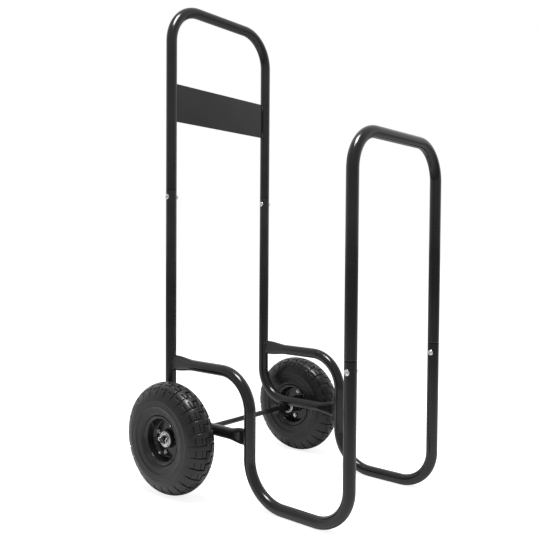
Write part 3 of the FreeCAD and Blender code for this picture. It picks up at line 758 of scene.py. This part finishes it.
# ------------------------------------------------------------- wheels
def wheel_place(side, turn):
    """Where a wheel's own frame sits on the cart."""
    spot = Matrix.Translation((side * wheel_x, axle_y, axle_z))
    return spot @ Matrix.Rotation(turn, 4, "X") @ Matrix.Diagonal((side, 1, 1, 1))


def rim_outline(steps=8):
    """The closed outline of one pressed rim half."""
    seat_r = bead_seat_r - sheet
    edge_angles = (0.4, 0.9, 1.57, 2.24, 2.74)
    corners = [
        (sheet, hub_r - 0.2 * mm),
        (sheet, disc_r),
        (dish_wall_x, seat_r),
        (flange_x, seat_r),
        (flange_x + flange_lean, rim_lip_r - lip_reach),
        (rim_half_width, rim_lip_r),
    ]
    corners = [Vector((x, r, 0)) for x, r in corners]
    bends = [press_r, press_r, press_r, flange_bend_r]
    stations = bent_line(corners, bends, math.radians(90 / steps))
    dish = [place for place, direction in stations]
    back = [place + Vector((-way.y, way.x, 0)) * sheet for place, way in stations]
    last, ahead = stations[-1]
    short = ahead * sheet / 2
    edge_middle = (dish[-1] + back[-1]) / 2 - short
    out = (dish[-1] - back[-1]) / 2
    edge = [
        edge_middle + out * math.cos(a) + ahead * (sheet / 2) * math.sin(a) for a in edge_angles
    ]
    loop = dish[:-1] + [dish[-1] - short] + edge + [back[-1] - short] + back[:-1][::-1]
    return [(point.x, point.y) for point in loop]


def hub_outline():
    step_r = bearing_r - 2 * mm
    points = [
        (hub_start, hub_r),
        (hub_end, hub_r),
        (hub_end, bearing_r),
        (hub_end - bearing_width, bearing_r),
        (hub_end - bearing_width, step_r),
        (hub_start + bearing_width, step_r),
        (hub_start + bearing_width, bearing_r),
        (hub_start, bearing_r),
    ]
    return soft_outline(points, 0.5 * mm)


def cup_outline():
    """The bearing's flanged outer shell and the dust shield spun into it, its flange towards +x."""
    face = bearing_flange
    flange_r, wall_r, dish_r = 17.8 * mm, bearing_r - 1.2 * mm, 12.4 * mm
    points = [
        (-6 * mm, wall_r),
        (-6 * mm, bearing_r),
        (0, bearing_r),
        (0, flange_r),
        (0.5 * mm, flange_r),
        (face, 17.0 * mm),
        (face, 16.4 * mm),
        (face - 2.4 * mm, dish_r),
        (face - 2.4 * mm, shield_bore_r),
        (face - 3.0 * mm, shield_bore_r),
        (face - 3.4 * mm, dish_r),
        (face - 1.8 * mm, wall_r),
    ]
    return soft_outline(points, 0.35 * mm)


def at_both_hub_ends(outline):
    """A bearing piece at each end of the hub."""
    outer = [(hub_end + x, r) for x, r in outline]
    inner = [(hub_start - x, r) for x, r in outline]
    return joined([turned(outer), turned(inner)])


def cap_outline(angle):
    """Outline of the ribbed valve cap along +x from its open end."""
    length, bore_r, rib, ribs = 8 * mm, 2.5 * mm, 0.35 * mm, 16
    ribbed_r = 4.7 * mm - rib * (math.cos(ribs * angle) < 0)
    return [
        (0, bore_r),
        (0, 4.5 * mm),
        (0.6 * mm, ribbed_r),
        (5.6 * mm, ribbed_r),
        (6.2 * mm, 4.2 * mm),
        (7.4 * mm, 3.6 * mm),
        (length, 2.4 * mm),
        (length, 0),
        (6 * mm, 0),
        (6 * mm, bore_r),
    ]


# ------------------------------------------------------------- tread
# One repeat of the tread is a grid of points. Its rows follow the tyre's section and its columns
# the tread's length, in metres along the crown from the top of the wheel towards the rear.
tread_step = 2 * math.pi * tyre_r / repeat_count
repeat_start = -0.15 * tread_step
half_groove = 1.8 * mm
edge_round = 1.1 * mm        # how far the rounding of a block's edge reaches
groove_draft = 0.35 * mm     # how far a groove's wall leans in
groove_depth = 3.4 * mm
seam_depth = 2.8 * mm
seam_length = 0.62 * tread_step
# Each seam's nearer and further edge from the middle of the tread.
middle_seam = (5.5 * mm, 8.0 * mm)
row_seam = (14.6 * mm, 17.2 * mm)
shoulder_seam = (25.0 * mm, 27.6 * mm)
brim = 0.16                  # the share of a groove's depth at the edge of its wall
finest = 0.14 * mm           # the smallest gap between two lines of the grid
FAR = 1.0
half_step = tread_step / 2
seam_start, seam_end = middle_seam
grooves = [                  # along from, to; across from, to; depth
    (-half_groove, half_groove, seam_start, FAR, groove_depth),
    (-half_groove, half_groove, -FAR, -seam_start, groove_depth),
    (half_step - half_groove, half_step + half_groove, -seam_end, seam_end, groove_depth),
    (0, half_step, seam_start, seam_end, seam_depth),
    (half_step, tread_step, -seam_end, -seam_start, seam_depth),
]
for low, high in (row_seam, shoulder_seam):
    grooves.append((0, seam_length, low, high, seam_depth))
    grooves.append((0, seam_length, -high, -low, seam_depth))


def wall_lines(low, high):
    """Grid lines that draw both walls of a groove."""
    lines = []
    for edge, inwards in ((low, 1), (high, -1)):
        if abs(edge) < FAR:
            lines += [edge - inwards * edge_round, edge - inwards * edge_round * 0.4]
            lines += [edge, edge + inwards * groove_draft]
    return lines


def spaced_lines(lines, start, end, gap, widest):
    """Sorted lines from start to end, thinned to a smallest gap and filled up to a widest one."""
    kept = [start]
    for value in sorted(lines):
        if kept[-1] + gap < value < end - gap:
            kept.append(value)
    kept.append(end)
    filled = [start]
    for low, high in zip(kept, kept[1:]):
        steps = math.ceil((high - low) / widest)
        filled += [low + (high - low) * k / steps for k in range(1, steps + 1)]
    return filled


def groove_share(along, across):
    """How deep the tread is cut at a place, as a share of the full groove depth."""
    deepest = 0.0
    for low, high, left, right, depth in grooves:
        for shift in (-tread_step, 0, tread_step):
            place = along + shift
            inside = min(place - low, high - place, across - left, right - across)
            if inside > groove_draft * 0.99:
                share = 1.0
            elif inside >= -1e-6:
                share = brim + (1 - brim) * inside / groove_draft
            else:
                share = brim * max(0.0, 1 + inside / edge_round) ** 2
            deepest = max(deepest, share * depth / groove_depth)
    return deepest


def worn_in(r):
    """The share of their depth that the grooves keep on their way down the shoulder."""
    fade = [(86, 0.0), (92, 0.06), (101, 0.2), (108, 0.5), (113, 1.0)]
    for (low, start), (high, end) in zip(fade, fade[1:]):
        if r < high * mm:
            return start + (end - start) * max(0.0, r - low * mm) / ((high - low) * mm)
    return 1.0


def crown_point(x):
    """A point of the crown, an arc over the tread from edge to edge."""
    rise = tyre_r - shoulder_r
    radius = (tread_half_width**2 + rise**2) / (2 * rise)
    return Vector((x, tyre_r - radius + math.sqrt(radius**2 - x**2)))


def circle_through(a, b, c):
    """Centre of the circle through three points."""
    ab, ac = b - a, c - a
    turn = 2 * (ab.x * ac.y - ab.y * ac.x)
    x = (ac.y * ab.length_squared - ab.y * ac.length_squared) / turn
    y = (ab.x * ac.length_squared - ac.x * ab.length_squared) / turn
    return a + Vector((x, y))


tread_edge = Vector((tread_half_width, shoulder_r))
side_centre = circle_through(tread_edge, sidewall_wide, sidewall_foot)
side_r = (tread_edge - side_centre).length


def side_angle(point):
    arm = point - side_centre
    return math.atan2(arm.y, arm.x)


def side_point(share):
    """A point of the outer sidewall, from the tread's edge at 0 to the foot at 1."""
    start, end = side_angle(tread_edge), side_angle(sidewall_foot)
    angle = start + (end - start) * share
    return side_centre + Vector((math.cos(angle), math.sin(angle))) * side_r


def side_share(reached):
    """The first place on the sidewall, going down from the tread's edge, that passes a test."""
    low, high = 0.0, 1.0
    for _ in range(30):
        half = (low + high) / 2
        if reached(side_point(half)):
            high = half
        else:
            low = half
    return high


def sunk(radius, depth):
    """A point of the outer sidewall at a distance from the axle, pressed in by a depth."""
    point = side_point(side_share(lambda p: p.y < radius))
    return point - (point - side_centre).normalized() * depth


def tread_rows():
    """The grid's rows across the tread, from the foot of the inner shoulder to that of the outer
    one. Each is its place across, the skin's point and the groove floor's point."""
    lines = []
    for low, high, left, right, depth in grooves:
        lines += wall_lines(left, right)
    edge = tread_half_width
    down = Vector((0, groove_depth))
    rows = []
    for x in spaced_lines([x for x in lines if abs(x) < edge], -edge, edge, finest, 3.0 * mm):
        rows.append((x, crown_point(x), crown_point(x) - down))
    foot_share = side_share(lambda p: p.y < shoulder_foot_r)
    near_seam = [side_share(lambda p: p.x > x) for x in lines if x > edge]
    floor_end = Vector((floor_foot_x, shoulder_foot_r))
    gap, widest = foot_share * 0.008, foot_share * 0.1
    for share in spaced_lines(near_seam, 0, foot_share, gap, widest)[1:]:
        point = side_point(share)
        floor = (tread_edge - down).lerp(floor_end, share / foot_share)
        rows.append((point.x, point, floor))
        rows.insert(0, (-point.x, Vector((-point.x, point.y)), Vector((-floor.x, floor.y))))
    return rows


def plain_rows():
    """The rest of the section: outer sidewall, bead, inside, bead and inner sidewall."""
    relief = [               # distance from the axle, depth below the sidewall, in millimetres
        (86.4, 0.1), (85.8, 0.45), (84.8, 0.45), (84.2, 0.05), (81.8, 0.0), (81.2, 0.4),
        (80.2, 0.4), (79.6, 0.05), (76.6, 0.0), (75.6, 0.1), (74.4, 0.7), (71.0, 0.9),
        (68.4, 0.8), (67.4, 0.4), (66.4, 0.3), (65.4, 0.5), (64.6, 0.1), (63.6, -0.4),
        (62.2, -0.6), (60.8, -0.5), (59.8, -0.1), (58.6, 0.0),
    ]
    outer = [sunk(radius * mm, depth * mm) for radius, depth in relief] + [sidewall_foot]
    heel_x, toe_x = flange_x - sheet - 0.3 * mm, flange_x - sheet - 10.8 * mm
    seat_r = bead_seat_r + 0.3 * mm
    heel_round = 2.6 * mm
    bead = [
        (heel_x + 3 * mm, 56.0 * mm),
        (heel_x, 54.5 * mm),
        (heel_x, seat_r + heel_round),
        (heel_x - heel_round, seat_r),
        (toe_x, seat_r),
    ]
    cavity = [(24.8, 57.6), (30.4, 75), (30.8, 90), (27, 104), (20, 112), (10, 118.5)]
    right = outer + [Vector(point) for point in bead]
    right += [Vector((x * mm, r * mm)) for x, r in cavity]
    left = [Vector((-point.x, point.y)) for point in reversed(right)]
    return right + [Vector((0, 120.5 * mm))] + left


def on_wheel(point, along):
    """A point of the section, turned from the top of the wheel towards the rear."""
    angle = along / tyre_r
    return Vector((point.x, point.y * math.sin(angle), point.y * math.cos(angle)))


def grid_faces(columns, width, start=0):
    """Faces of a grid whose points are listed column by column from a start."""
    faces = []
    for col in range(columns - 1):
        for row in range(width - 1):
            a = start + col * width + row
            faces.append((a, a + 1, a + width + 1, a + width))
    return faces


def tread_repeat():
    """Points and faces of one repeat of the tyre, open at both ends, to be repeated round it."""
    end = repeat_start + tread_step
    lines = []
    for low, high, left, right, depth in grooves:
        for value in wall_lines(low, high):
            lines += [value + shift for shift in (-tread_step, 0, tread_step)]
    lines = [value for value in lines if repeat_start < value < end]
    columns = spaced_lines(lines, repeat_start, end, finest, 2.6 * mm)
    rows = tread_rows()
    plain = plain_rows()
    plain_columns = columns[:: max(1, len(columns) // 6)]
    if plain_columns[-1] != columns[-1]:
        plain_columns[-1] = columns[-1]
    verts = []
    for along in columns:
        for across, skin_point, floor in rows:
            share = groove_share(along, across) * worn_in(skin_point.y)
            verts.append(on_wheel(skin_point.lerp(floor, share), along))
    base = len(verts)
    for along in plain_columns:
        verts += [on_wheel(point, along) for point in plain]
    width, plain_width = len(rows), len(plain)
    faces = grid_faces(len(columns), width)
    faces += grid_faces(len(plain_columns), plain_width, base)
    for col in range(len(plain_columns) - 1):
        start = base + col * plain_width
        first = columns.index(plain_columns[col])
        last = columns.index(plain_columns[col + 1])
        outer_edge = [k * width + width - 1 for k in range(first, last + 1)]
        inner_edge = [k * width for k in range(first, last + 1)]
        faces.append(tuple(outer_edge + [start + plain_width, start]))
        faces.append(tuple(inner_edge + [start + 2 * plain_width - 1, start + plain_width - 1]))
    return verts, faces


def valve_cap():
    """The ribbed cap on the valve's tip, which stands square to the dish wall."""
    valve_turn = math.radians(52)
    stem_length, cap_overlap = 20 * mm, 5.6 * mm
    wall_start = Vector((0, 0, disc_r))
    wall_end = Vector((dish_wall_x - sheet, 0, bead_seat_r))
    along = (wall_end - wall_start).normalized()
    outward = Vector((along.z, 0, -along.x))
    centre = (wall_start + wall_end) / 2
    foot = centre - outward * (bead_seat_r + 0.8 * mm - centre.z) / -outward.z
    base = foot + outward * (stem_length - cap_overlap)
    upright = X.rotation_difference(outward).to_matrix().to_4x4()
    place = Matrix.Rotation(valve_turn, 4, "X") @ Matrix.Translation(base) @ upright
    return moved(turned(cap_outline, 96), place)


def wheel(side, word):
    """Every piece of one wheel, drawn about the X axis and then moved onto the cart."""
    rim = rim_outline()
    inner_rim = [(-x, r) for x, r in rim]
    bolt_place = Matrix.Translation((sheet, 0, rim_bolt_circle_r))
    half_turn = Matrix.Rotation(math.pi, 4, "Z")
    nut_place = Matrix.Translation((-sheet, 0, rim_bolt_circle_r)) @ half_turn
    bolt = moved(turned(rim_bolt_outline, ROUND), bolt_place)
    nut = moved(turned(nut_outline, ROUND), nut_place)
    paint, zinc = "gloss_black_paint", "bright_zinc"
    for name, node, part, finish, sharp, copies in (
        ("tyre_tread_", "tyre", tread_repeat(), "tyre_rubber", 40, (repeat_count, 0.004 * mm)),
        ("dished_rim_outer_", "rim_outer", turned(rim), paint, SHARP, None),
        ("dished_rim_inner_", "rim_inner", turned(inner_rim), paint, SHARP, None),
        ("turned_hub_", "hub", turned(hub_outline()), paint, SHARP, None),
        ("flanged_bearing_", "bearing_cups", at_both_hub_ends(cup_outline()), zinc, SHARP, None),
        ("clamp_bolts_", "rim_bolts", bolt, zinc, 25, (rim_bolt_count, 0.003 * mm)),
        ("clamp_nuts_", "rim_nuts", nut, zinc, 25, (rim_bolt_count, 0.003 * mm)),
        ("ribbed_valve_cap_", "valve_cap", valve_cap(), "black_plastic", 25, None),
    ):
        if copies:
            mesh = repeated(node, part, copies[0], finish, sharp, copies[1])
        else:
            mesh = make_mesh(node, *part, finish, sharp)
        mesh.transform(wheel_place(side, (tyre_turn if node == "tyre" else wheel_turn)[word]))
        if side < 0:
            mesh.flip_normals()
        settle(linked(name + word, mesh), "wheel_" + word, finish, node + "_" + word)
    seam_r, proud = hub_r + 0.6 * mm, 0.3 * mm
    angles = [k / 12 for k in range(76)]     # just over one turn
    lines = []
    for x in (sheet + proud, -sheet - proud):
        ring = [Vector((x, seam_r * math.cos(a), seam_r * math.sin(a))) for a in angles]
        lines.append([wheel_place(side, wheel_turn[word]) @ point for point in ring])
    welds("hub_welds_" + word, "wheel_" + word, lines, radius=1.7 * mm, pitch=1.5 * mm, seed=7)


for side, word in sides:
    wheel(side, word)


# ------------------------------------------------------------- stage
def dot(tree, space, vector):
    """How far a place or a direction lies along a vector."""
    where = fed(tree, "ShaderNodeTexCoord", {}, space)
    product = {0: where, 1: vector}
    return fed(tree, "ShaderNodeVectorMath", product, "Value", operation="DOT_PRODUCT")


def background_rays(tree, mirrored):
    """1 where the camera or a see-through piece looks at the background, else 0. A reflection
    sees it by the share in mirrored, which is a number or a socket."""
    rays = tree.nodes.new("ShaderNodeLightPath").outputs
    reflection = {0: rays["Is Glossy Ray"], 1: mirrored}
    seen = fed(tree, "ShaderNodeMath", reflection, operation="MULTIPLY")
    for ray in ("Is Camera Ray", "Is Transmission Ray"):
        seen = fed(tree, "ShaderNodeMath", {0: seen, 1: rays[ray]}, operation="MAXIMUM")
    return seen


def stage_floor():
    """A white floor that keeps the cart's shadow. In reflections its colour is painted darker away
    from the cart, a painted shade that stands in for the dim open room.
    """
    half = 30.0
    white, far_painted_shade = 0.9, 0.42
    glow_strength, mirrored_glow = 0.82, 0.1
    corners = [(-half, -half, 0), (half, -half, 0), (half, half, 0), (-half, half, 0)]
    floor = linked("floor", plain_mesh("floor", corners, [(0, 1, 2, 3)]))
    material, tree, shader = new_material("floor_white")
    # painted shade: as seen in reflections, the floor's colour darkens from white to 0.42 away from
    # the cart, towards the open room
    away = dot(tree, "Object", (-0.76, -0.65, 0))
    painted_reflection_shade = ranged(tree, away, 0.3, 1.2, white, far_painted_shade)
    mirror_ray = fed(tree, "ShaderNodeLightPath", {}, "Is Glossy Ray")
    shown = ranged(tree, mirror_ray, 0.0, 1.0, white, painted_reflection_shade)
    tree.links.new(shown, shader.inputs["Base Color"])
    shader.inputs["Roughness"].default_value = 1.0
    shader.inputs["Specular IOR Level"].default_value = 0.0
    glowing = {0: background_rays(tree, mirrored_glow), 1: glow_strength}
    strength = fed(tree, "ShaderNodeMath", glowing, operation="MULTIPLY")
    glow = fed(tree, "ShaderNodeEmission", {"Strength": strength})
    both = fed(tree, "ShaderNodeAddShader", {0: shader.outputs[0], 1: glow})
    tree.links.new(both, tree.nodes["Material Output"].inputs["Surface"])
    floor.data.materials.append(material)


def stage_world():
    """Plain soft light from all round, white where the camera sees it. Reflections see the white
    sweep too, but the open room in front of it is dimmer."""
    light_level, open_room = 0.3, 0.2
    world = bpy.data.worlds.new("studio")
    bpy.context.scene.world = world
    world.use_nodes = True
    tree = world.node_tree
    sky = tree.nodes["Background"]
    sky.inputs["Color"].default_value = (1, 1, 1, 1)
    sweep = ranged(tree, dot(tree, "Generated", (-0.72, -0.62, 0.3)), -0.6, 0.5, 1.0, open_room)
    level = ranged(tree, background_rays(tree, sweep), 0.0, 1.0, light_level, 1.0)
    tree.links.new(level, sky.inputs["Strength"])


def stage_lamp():
    """One soft box hangs over the cart, a little to its left and front."""
    place, target = Vector((-0.6, -0.3, 2.5)), Vector((0, 0, 0.5))
    lamp = bpy.data.lights.new("overhead", "AREA")
    lamp.shape = "RECTANGLE"
    lamp.size, lamp.size_y = 0.72, 0.72
    lamp.energy = 50
    holder = linked("overhead", lamp)
    holder.location = place
    holder.rotation_euler = (target - place).to_track_quat("-Z", "Y").to_euler()


def stage_camera():
    """The camera stands left of the cart and looks past its near wheel."""
    eye = Vector((-1.25591, rear_y - 1.23293, 0.55982))
    yaw, pitch, roll = 0.86625, 0.03125, 0.00698
    lens_px, frame_px, centre_y_px = 683.207, 540, 268.381
    flat = math.cos(pitch)
    forward = Vector((math.sin(yaw) * flat, math.cos(yaw) * flat, -math.sin(pitch)))
    level = Vector((math.cos(yaw), -math.sin(yaw), 0))
    upward = level.cross(forward)
    right = level * math.cos(roll) + upward * math.sin(roll)
    top = upward * math.cos(roll) - level * math.sin(roll)
    camera = bpy.data.cameras.new("camera")
    camera.sensor_width = 36
    camera.lens = 36 * lens_px / frame_px
    camera.shift_y = (centre_y_px - frame_px / 2) / frame_px
    camera.clip_start = 0.05
    camera.clip_end = 200
    holder = linked("camera", camera)
    matrix = Matrix((right, top, -forward)).transposed().to_4x4()
    matrix.translation = eye
    holder.matrix_world = matrix
    bpy.context.scene.camera = holder


stage_floor()
stage_world()
stage_lamp()
stage_camera()
bpy.context.scene.view_settings.view_transform = "Standard"
